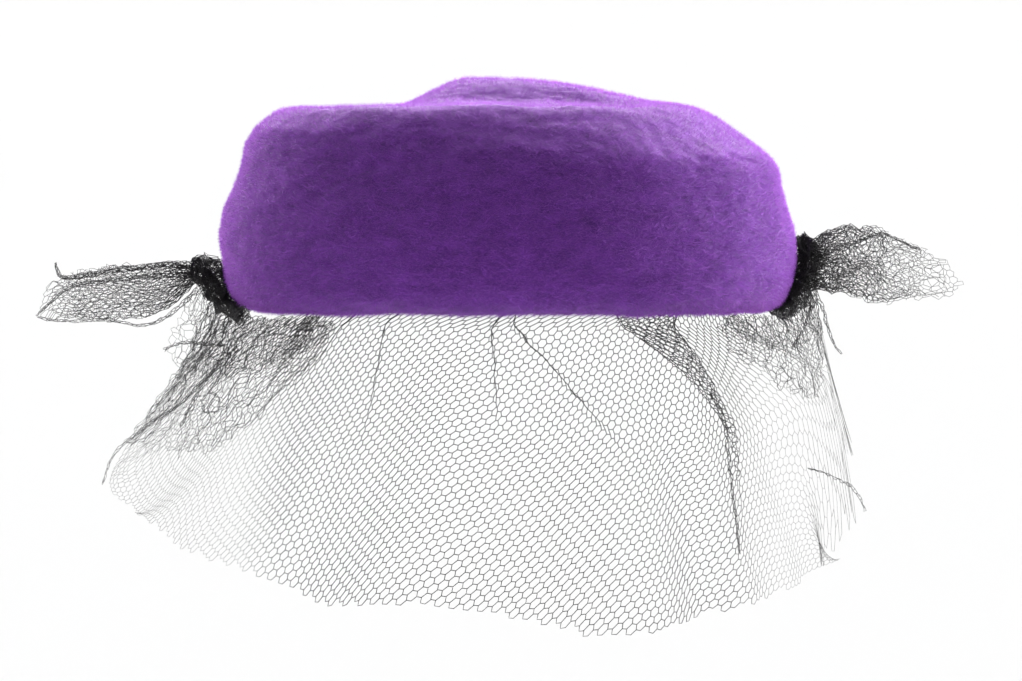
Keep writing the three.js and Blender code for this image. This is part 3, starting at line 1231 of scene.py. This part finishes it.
@dataclass
class NetTail:
    """A leaf of gathered net that stands out from a knot, folded back and forth on itself."""

    side: Side
    sections: tuple[Section, ...]
    strands: tuple[NetRoll, ...] = ()
    layers: int = 5
    gather: float = 0.76
    stagger: float = 0.05
    grain: float = 12.0
    crumple: float = 1.5
    crumple_size: float = 11.0
    bubbles: float = 1.2
    seed: float = 4.0

    @property
    def name(self) -> str:
        """The piece's name."""
        return f"tail_net_{self.side.word}"

    @property
    def node(self) -> str:
        """The frame's node that the tail stands for."""
        return f"tail_{self.side.word}"

    @property
    def deep(self) -> float:
        """How much cloth there is in one layer, in millimetres."""
        return max(s.tall for s in self.sections) / self.gather

    def flat_size(self) -> tuple[float, float]:
        """The flat cut's width and length in metres."""
        first, last = self.sections[0].out, self.sections[-1].out
        return (last - first) * MM, self.layers * self.deep * MM

    def fold(self, netting: Netting) -> bpy.types.Object:
        """Weaves a strip, folds it into the leaf and adds the strands along it.

        Args:
            netting: makes the net.

        Returns:
            The folded tail.
        """
        length, width = (v / MM for v in self.flat_size())
        net = netting.weave(self.name, length, width, self.grain)
        flat = points_of(net)
        table = np.array([(s.out, s.back, s.middle, s.tall, s.thick) for s in self.sections])
        tallest = table[:, 3].max()
        out = table[0, 0] + flat[:, 0]
        back, middle, tall, thick = (np.interp(out, table[:, 0], table[:, i]) for i in (1, 2, 3, 4))
        before_widest = out < table[table[:, 3].argmax(), 0]
        spread = np.where(before_widest, tall, tallest)
        pleated = flat[:, 1] / self.deep
        layer = np.minimum(pleated.astype(int), self.layers - 1)
        across = np.where(layer % 2 == 0, pleated - layer, 1 - (pleated - layer)) - 0.5
        height = spread * across
        depth = thick * (pleated / self.layers - 0.5)
        places = np.stack([self.side.value * out, back + depth, middle + height], axis=1)
        places = ruffled(places, self.crumple, self.crumple_size, self.seed)
        places = ruffled(places, self.bubbles, 3.6, self.seed + 5.0)
        move_points(net, places * MM)
        shortened = length * (1.0 - self.stagger * layer)
        delete_points(net, (np.abs(height) > 0.5 * tall + 0.1) | (flat[:, 0] > shortened))
        netting.spin_thread(net)
        return joined([net] + [strand.roll(netting) for strand in self.strands], self.name)


@dataclass
class NetKnot:
    """The bundle of tightly gathered net that runs from a tail, round the felt's edge and in under it."""

    side: Side
    rings: tuple[Bend, ...]
    creases: int = 13
    crease_depth: float = 0.74
    core: float = 0.45
    puff: float = 1.6
    wraps: float = 5.0
    crumple: float = 3.4

    @property
    def name(self) -> str:
        """The piece's name."""
        return f"knot_net_{self.side.word}"

    @property
    def node(self) -> str:
        """The frame's node that the knot stands for."""
        return f"knot_{self.side.word}"

    def tie(self) -> bpy.types.Object:
        """Models the bundle's core ring by ring, creased lengthwise.

        Returns:
            The finished core.
        """
        rings = self.rings
        centres = np.array([(r.x, r.y, r.z) for r in rings])
        deselect_all()
        bpy.ops.mesh.primitive_circle_add(
            vertices=2 * self.creases, radius=1.0, fill_type="NGON", rotation=(0, math.pi / 2, 0)
        )
        knot = rename(bpy.context.object, self.name)
        settle(knot)
        bpy.ops.object.mode_set(mode="EDIT")
        bpy.ops.mesh.select_all(action="SELECT")
        for _ in self.rings[1:]:
            bpy.ops.mesh.extrude_region_move(TRANSFORM_OT_translate={"value": (-1.0, 0, 0)})
        bpy.ops.object.mode_set(mode="OBJECT")
        points = points_of(knot)
        ring = np.round(-points[:, 0]).astype(int)
        angle = np.arctan2(points[:, 2], points[:, 1])
        spoke = np.round(angle / (math.pi / self.creases)).astype(int)
        ahead = np.gradient(centres, axis=0)
        ahead /= np.linalg.norm(ahead, axis=1, keepdims=True)
        level = np.cross(FRONT, ahead)
        level /= np.linalg.norm(level, axis=1, keepdims=True)
        rise = np.cross(ahead, level)
        radius = self.core * np.array([r.radius for r in rings])[ring]
        radius = radius * np.where(spoke % 2 == 0, 1.0, self.crease_depth)
        placed = (
            centres[ring]
            + (radius * np.cos(angle))[:, None] * level[ring]
            + (radius * np.sin(angle))[:, None] * rise[ring]
        )
        placed = ruffled(placed, 0.5, 5.0, 9.0 + self.side.value)
        move_points(knot, placed * MM)
        smooth = knot.modifiers.new("smooth", "SUBSURF")
        smooth.levels = 2
        smooth.render_levels = 2
        apply_modifiers(knot)
        bpy.ops.object.mode_set(mode="EDIT")
        bpy.ops.mesh.select_all(action="SELECT")
        bpy.ops.mesh.normals_make_consistent(inside=False)
        bpy.ops.object.mode_set(mode="OBJECT")
        bpy.ops.object.shade_smooth()
        return knot

    def wrap(self, netting: Netting) -> bpy.types.Object:
        """Winds crumpled net round the core.

        Args:
            netting: makes the net.

        Returns:
            The winding, as a piece of its own.
        """
        bends = tuple(Bend(r.x, r.y, r.z, self.puff * r.radius) for r in self.rings)
        roll = NetRoll(bends, self.wraps, 0.12, 1.5, self.crumple, 4.2)
        return rename(roll.roll(netting), f"knot_winding_{self.side.word}")

    def winding_size(self) -> tuple[float, float]:
        """The winding's flat width and length in metres."""
        line = np.array([(r.x, r.y, r.z) for r in self.rings])
        length = float(np.linalg.norm(np.diff(line, axis=0), axis=1).sum())
        widest = self.puff * max(r.radius for r in self.rings)
        return 1.5 * length * MM, 2.0 * math.pi * self.wraps * widest * MM


# ---------------------------------------------------------------- the veil's tables

VEIL_STATIONS = (
    Station(-91, 107.6, 3.8, 108, 1, 109, -3),
    Station(-90, 105, -0.6, 110, -13, 114, -32),
    Station(-88, 103, -2.6, 113, -20, 136, -48),
    Station(-85, 99.6, -3.4, 115, -26, 146, -62),
    Station(-76, 90, -3.2, 106, -30, 136, -72),
    Station(-64, 79.6, 0, 98, -34, 127, -80),
    Station(-48, 79.4, 2.4, 94, -36, 121, -87),
    Station(-30, 79.4, 3, 93, -38, 120, -95),
    Station(-13, 79.4, 3, 92, -38, 116.5, -93.5),
    Station(0, 79.4, 3, 92, -40, 116, -98),
    Station(15, 79.4, 3, 93, -42, 117, -104),
    Station(31, 79.4, 3, 93, -40, 117, -101),
    Station(48, 79.4, 2.4, 94, -38, 117, -96),
    Station(66, 79.6, 0, 97, -36, 121, -91),
    Station(76, 90, -3.2, 104, -32, 126, -82),
    Station(86, 100.4, -2.8, 112, -26, 127, -68),
    Station(90, 105.6, 1.6, 111, -10, 117, -34),
    Station(91, 107.6, 9, 108, 6, 109, 2),
)
VEIL_FOLDS = (
    Fold(-60, 7, 4),
    Fold(-38, 6, -3),
    Fold(-18, 7, 4),
    Fold(4, 6, -4),
    Fold(22, 7, 4),
    Fold(34, 5, -4),
    Fold(43, 4, 4),
    Fold(64, 6, -4),
)
VEIL_PLEATS = (
    Pleat(-79, 0, 2.0, 1.0, least_spread=16.0),
    Pleat(-57, 20, 0.28, 0.34, 4, 3),
    Pleat(-38, 6, 1.3, 0.32, -18, 1.0),
    Pleat(-27, 5, 1.3, 0.55, -4, 0.8),
    Pleat(1, 8, 1.25, 0.44, 2, 1.0),
    Pleat(2, 9, 1.25, 0.5, 37, 1.0),
    Pleat(37, 66, 0.6, 0.95, 12, 4, 3.0),
    Pleat(68, 14, 0.3, 0.5, 8, 3),
    Pleat(79, 0, 2.0, 1.0, least_spread=16.0),
)
LEFT_FLOUNCE = (
    Station(-93, 112, 12, 120, -1, 126, -14.8),
    Station(-89, 107.5, 8, 117, -9, 121, -26),
    Station(-86, 105.5, 5, 117, -14, 120, -37),
    Station(-82, 104, 2, 118, -22, 140, -49.7),
    Station(-72, 101, 0.4, 117, -22, 124, -50.4),
    Station(-62, 97, -0.6, 112, -20, 121, -48.6),
    Station(-54, 93, -1.4, 106, -16, 117, -43),
    Station(-47, 91, -1.6, 99, -12, 111, -31),
    Station(-41, 89, -1.8, 95, -9, 104, -18),
)
RIGHT_FLOUNCE = (
    Station(50, 91, -1.6, 95, -8, 98, -12),
    Station(58, 95, -1.2, 101, -12, 106, -24),
    Station(68, 99, -0.4, 108, -14, 113, -31),
    Station(77, 103, 1, 111, -13, 113, -30),
    Station(86, 106.5, 8, 111, -4, 113, -14),
    Station(93, 110, 14, 112, 5, 113, -2),
)
LEFT_TAIL = (
    Section(113.5, 0, 11.8, 6, 6),
    Section(121, 0, 8.8, 14, 9),
    Section(131, 1, 5.4, 19, 12),
    Section(145, 2, 4.6, 21, 13),
    Section(157, 3, 3.6, 17.5, 11),
    Section(166, 3, 2.4, 14, 7),
    Section(172.0, 3, -2.2, 5, 4),
)
RIGHT_TAIL = (
    Section(106.5, 1, 14.6, 17, 7),
    Section(114.9, 0, 16.4, 20, 9),
    Section(121, 0, 16.6, 24, 11),
    Section(134, 2, 14.6, 27, 14),
    Section(148, 4, 12, 21, 12),
    Section(158, 5, 9.8, 13, 9),
    Section(164.4, 5, 8, 5, 4),
)
LEFT_KNOT = (
    Bend(-115.5, 0.0, 13.4, 2.0),
    Bend(-112.0, 0.0, 13.4, 3.3),
    Bend(-108.8, -0.6, 11.8, 3.9),
    Bend(-106.4, -2.0, 8.4, 3.6),
    Bend(-104.2, -4.0, 4.2, 3.1),
    Bend(-100.6, -7.0, 0.0, 2.6),
    Bend(-96.0, -11.0, -2.0, 1.7),
)
RIGHT_KNOT = (
    Bend(104.4, 1.0, 26.0, 1.2),
    Bend(105.6, 0.0, 21.0, 3.0),
    Bend(106.6, -1.0, 15.5, 3.8),
    Bend(105.8, -2.0, 9.5, 3.5),
    Bend(103.6, -4.0, 4.6, 3.0),
    Bend(100.0, -7.0, 0.8, 2.5),
    Bend(95.5, -11.0, -1.6, 1.7),
)
LEFT_TAIL_STRANDS = (
    NetRoll((Bend(-112, 0, 14, 2.0), Bend(-122, -2, 15.2, 1.5), Bend(-139, -3, 13.6, 1.1), Bend(-160, -1, 10.4, 0.9),
             Bend(-164, 0, 12.5, 0.8), Bend(-164.6, 0, 15.8, 0.4))),
    NetRoll((Bend(-113, -2, 11.8, 1.8), Bend(-130, -4, 11.0, 1.0), Bend(-148, -4, 9.0, 0.8), Bend(-160, -2, 6.6, 0.7),
             Bend(-172, 1, -3.6, 0.5)), 1.1),
    NetRoll((Bend(-172, 2, -4.0, 0.5), Bend(-163, 0, -5.4, 0.6), Bend(-145, -3, -5.0, 0.7), Bend(-134, -4, -6.8, 0.6),
             Bend(-124, -4, -3.6, 0.8), Bend(-112, -2, 7.0, 1.4)), 1.1),
)
RIGHT_TAIL_STRANDS = (
    NetRoll((Bend(108, 0, 18, 1.8), Bend(122, -2, 22, 0.9), Bend(134, -2, 26, 0.5), Bend(150, 0, 20, 0.4)),
            1.1, crumple=1.2),
)
VEIL_STRANDS = (
    NetRoll((Bend(-95.8, -34, -12.5, 1.1), Bend(-104.9, -31, -21.4, 0.9), Bend(-118, -23, -34.2, 0.7),
             Bend(-129.6, -15, -41.8, 0.7), Bend(-139.3, -9, -49.4, 0.8), Bend(-143.9, -10, -55.1, 0.6),
             Bend(-146.4, -16, -63.4, 0.4)), 1.1),
    NetRoll((Bend(68.7, -64.8, -25.7, 0.5), Bend(73.9, -65.7, -37.3, 1.0), Bend(74.9, -70.8, -47.3, 0.8),
             Bend(76.1, -78.4, -60.5, 0.6), Bend(77.9, -90, -80.2, 0.4)), 1.1),
    NetRoll((Bend(104.2, -38.4, -55.2, 0.3), Bend(113.2, -30.9, -58.6, 0.5), Bend(123, -18.9, -64.7, 0.8),
             Bend(128.1, -16.1, -74, 0.5)), 1.1),
)
LEFT_FLOUNCE_STRANDS = (
    NetRoll((Bend(-124.5, -15, -15.5, 1.1), Bend(-122, -17, -14, 0.6), Bend(-116, -24, -12, 0.8),
             Bend(-100, -40, -12, 0.7)), 1.2),
    NetRoll((Bend(-98.5, -39, -12.6, 1.0), Bend(-106, -36, -23, 0.9), Bend(-112.5, -32, -32.5, 0.8),
             Bend(-116.7, -30, -41.8, 0.6)), 1.2),
    NetRoll((Bend(-94.5, -42, -12.5, 0.8), Bend(-101, -40, -22, 0.9), Bend(-106, -39, -28.5, 0.8)), 1.2),
    NetRoll((Bend(-108.8, -39, -31.0, 0.6), Bend(-107.6, -39, -35.4, 0.6), Bend(-103.6, -39, -35.8, 0.6),
             Bend(-102.2, -39, -31.6, 0.6), Bend(-105.2, -39, -28.6, 0.6), Bend(-108.6, -39, -31.6, 0.6)), 1.2),
)
RIGHT_FLOUNCE_STRANDS = (
    NetRoll((Bend(110, -5, 6, 1.1), Bend(113, -8, -1, 0.8), Bend(115.6, -10, -11, 0.6), Bend(119.6, -12, -17.2, 0.4)), 1.2),
    NetRoll((Bend(109.5, -6, 2, 1.0), Bend(105.5, -14, -7, 0.6), Bend(100.5, -20, -15, 0.4)), 1.2),
)


# ---------------------------------------------------------------- the studio


@dataclass(frozen=True)
class SoftBox:
    """One square soft box: where it hangs and what it faces in metres, its side, power and spread."""

    name: str
    place: tuple[float, float, float]
    faces: tuple[float, float, float]
    size: float
    watts: float
    spread: float = 180.0

    def hang(self) -> None:
        """Hangs the light."""
        light = bpy.data.lights.new(self.name, "AREA")
        light.size = self.size
        light.energy = self.watts
        light.spread = math.radians(self.spread)
        box = bpy.data.objects.new(self.name, light)
        box.location = self.place
        box.rotation_euler = (Vector(self.place) - Vector(self.faces)).to_track_quat("Z", "Y").to_euler()
        bpy.context.scene.collection.objects.link(box)


@dataclass
class Studio:
    """A pale sweep, soft lights and the camera."""

    aim: tuple[float, float, float] = (0.0004, 0.0, -0.0125)
    distance: float = 1.25
    elevation: float = 3.0
    view_width: float = 0.371
    sensor: float = 36.0
    floor_below: float = 0.4
    room_light: float = 0.6
    soft_boxes: tuple[SoftBox, ...] = (
        SoftBox("wall_left", (-1.6, 0.7, 1.8), (-0.5, 2.5, 0.0), 1.2, 23.5),
        SoftBox("wall_right", (1.6, 0.7, 1.8), (0.5, 2.5, 0.0), 1.2, 23.5),
        SoftBox("rear_left", (-0.7, 0.95, 0.35), (0, 0, 0.06), 0.9, 6.5, 45.0),
        SoftBox("rear_right", (1.0, 0.62, 0.3), (0, 0, 0.06), 1.0, 11.0, 45.0),
        SoftBox("rear_top", (0.1, 1.3, 0.8), (0, 0, 0.06), 0.9, 4.5, 40.0),
    )

    def set_up(self) -> None:
        """Builds the whole studio."""
        self.camera()
        self.sweep()
        self.lights()
        bpy.context.scene.view_settings.view_transform = "Standard"

    def camera(self) -> None:
        """Makes the camera, level with the hat and a little above it."""
        tilt = math.radians(self.elevation)
        back = Vector((0.0, -math.cos(tilt), math.sin(tilt)))
        lens = bpy.data.cameras.new("camera")
        lens.sensor_width = self.sensor
        lens.lens = self.sensor * self.distance / self.view_width
        viewer = bpy.data.objects.new("camera", lens)
        viewer.location = Vector(self.aim) + self.distance * back
        viewer.rotation_euler = back.to_track_quat("Z", "Y").to_euler()
        bpy.context.scene.collection.objects.link(viewer)
        bpy.context.scene.camera = viewer

    def sweep(self) -> None:
        """Models the floor and the wall behind it as one pale sheet with a rounded corner."""
        deselect_all()
        bpy.ops.mesh.primitive_plane_add(size=1.0, location=(0, 0.4, CAD_BOX[0].z - self.floor_below))
        sweep = rename(bpy.context.object, "studio_sweep")
        sweep.scale = (9.0, 4.4, 1.0)
        settle(sweep)
        back = points_of(sweep)[:, 1].max()
        edges = [all(sweep.data.vertices[i].co.y > back - 0.01 for i in e.vertices) for e in sweep.data.edges]
        bpy.ops.object.mode_set(mode="EDIT")
        bpy.ops.mesh.select_mode(type="EDGE")
        bpy.ops.mesh.select_all(action="DESELECT")
        bpy.ops.object.mode_set(mode="OBJECT")
        sweep.data.edges.foreach_set("select", edges)
        bpy.ops.object.mode_set(mode="EDIT")
        bpy.ops.mesh.extrude_region_move(TRANSFORM_OT_translate={"value": (0, 0, 3.0)})
        bpy.ops.mesh.select_all(action="DESELECT")
        bpy.ops.object.mode_set(mode="OBJECT")
        corner = [
            all(v.co.y > back - 0.01 and v.co.z < CAD_BOX[0].z for v in (sweep.data.vertices[i] for i in e.vertices))
            for e in sweep.data.edges
        ]
        sweep.data.edges.foreach_set("select", corner)
        bpy.ops.object.mode_set(mode="EDIT")
        bpy.ops.mesh.bevel(offset=1.1, segments=20)
        bpy.ops.object.mode_set(mode="OBJECT")
        bpy.ops.object.shade_smooth()
        pale = bpy.data.materials.new("pale sweep")
        pale.use_nodes = True
        shader = pale.node_tree.nodes["Principled BSDF"]
        shader.inputs["Base Color"].default_value = (0.9, 0.9, 0.9, 1.0)
        shader.inputs["Roughness"].default_value = 0.9
        shader.inputs["Specular IOR Level"].default_value = 0.0
        sweep.data.materials.append(pale)

    def lights(self) -> None:
        """Hangs the soft boxes and lights the room."""
        world = bpy.data.worlds.new("studio")
        world.use_nodes = True
        world.node_tree.nodes["Background"].inputs["Color"].default_value = (1.0, 1.0, 1.0, 1.0)
        world.node_tree.nodes["Background"].inputs["Strength"].default_value = self.room_light
        bpy.context.scene.world = world
        for light in self.soft_boxes:
            light.hang()


# ---------------------------------------------------------------- the hat


@dataclass
class PillboxHat:
    """The whole hat: felt, nap, veil, flounces, tails and knots."""

    crown: FeltCrown = field(default_factory=FeltCrown)
    nap: BrushedNap = field(default_factory=BrushedNap)
    netting: Netting = field(default_factory=Netting)
    bunched: Netting = field(
        default_factory=lambda: Netting(Cell((3.3, 0.0), (-1.0, 1.95)), 0.28, 0.35, (98.0, 150.0))
    )

    light: Netting = field(
        default_factory=lambda: Netting(Cell((3.3, 0.0), (-1.0, 1.95)), 0.25, 0.4, (90.0, 125.0))
    )

    def dress(
        self, piece: bpy.types.Object, finish: bpy.types.Material, slot: Slot, *nodes: str
    ) -> None:
        """Gives a finished piece its material and its body, and hides the frame's nodes that it replaces.

        Args:
            piece: the finished piece.
            finish: its material.
            slot: the record's slot for that finish; not used.
            nodes: the frame's nodes that the piece replaces.
        """
        piece.data.materials.clear()
        piece.data.materials.append(finish)
        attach(piece, BODY)
        if nodes:
            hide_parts(*nodes)
        log.info("%s: %d faces", piece.name, len(piece.data.polygons))

    def build_felt(self) -> None:
        """Builds and dresses the felt and its nap."""
        fibres = fibre_group()
        felt = self.crown.block()
        patches = self.nap.raise_nap(felt)
        self.dress(felt, VelourFinish("velour ground").material(fibres), Slot.FELT, "felt_crown")
        fibre = VelourFinish("velour nap", fibre_shades=True, roughness=0.8, sheen=0.3, relief=0.0002, lets_light_through=0.45)
        finish = fibre.material(fibres)
        for patch in patches:
            self.dress(patch, finish, Slot.FELT)

    def build_net(self) -> None:
        """Builds and dresses every piece of the net."""
        thread = ThreadFinish("net thread").material()
        veil = Drape(VEIL_STATIONS, VEIL_FOLDS, VEIL_PLEATS, 1.0)
        left = Drape(LEFT_FLOUNCE, fullness=1.0, columns=90)
        right = Drape(RIGHT_FLOUNCE, fullness=1.1, columns=90)
        pieces = (
            (NetPiece("veil_net", "net_veil", veil, 26.0, bubbles=1.4), VEIL_STRANDS),
            (NetPiece("flounce_net_left", "flounce_left", left, 20.0, 1.4, 8.0, 2.0, 2, 3.0, 0.5), LEFT_FLOUNCE_STRANDS),
            (NetPiece("flounce_net_right", "flounce_right", right, 20.0, 1.4, 8.0, 2.0, 2, 5.0, 0.5), RIGHT_FLOUNCE_STRANDS),
        )
        for piece, strands in pieces:
            netting = self.netting if piece.layers == 1 else self.light
            rolled = [strand.roll(self.bunched) for strand in strands]
            net = joined([piece.hang(netting)] + rolled, piece.name)
            self.dress(net, thread, Slot.NET, piece.node)
            piece.flat_size()
        for knot in (NetKnot(Side.LEFT, LEFT_KNOT), NetKnot(Side.RIGHT, RIGHT_KNOT)):
            self.dress(knot.tie(), thread, Slot.NET, knot.node)
            winding = knot.wrap(self.bunched)
            self.dress(winding, thread, Slot.NET)
            knot.winding_size()
            knot.name
        tails = (
            NetTail(Side.LEFT, LEFT_TAIL, LEFT_TAIL_STRANDS),
            NetTail(Side.RIGHT, RIGHT_TAIL, RIGHT_TAIL_STRANDS, 8, 0.84, 0.115, 25.0, 2.4, 9.0, 1.7, 8.0),
        )
        for tail in tails:
            net = tail.fold(self.bunched)
            self.dress(net, thread, Slot.NET, tail.node)
            tail.flat_size()
            f"knot_net_{tail.side.word}"


def main() -> None:
    """Builds the studio and the hat."""
    logging.basicConfig(level=logging.INFO, format="%(name)s: %(message)s")
    Studio().set_up()
    hat = PillboxHat()
    hat.build_felt()
    hat.build_net()


if __name__ == "__main__":
    main()
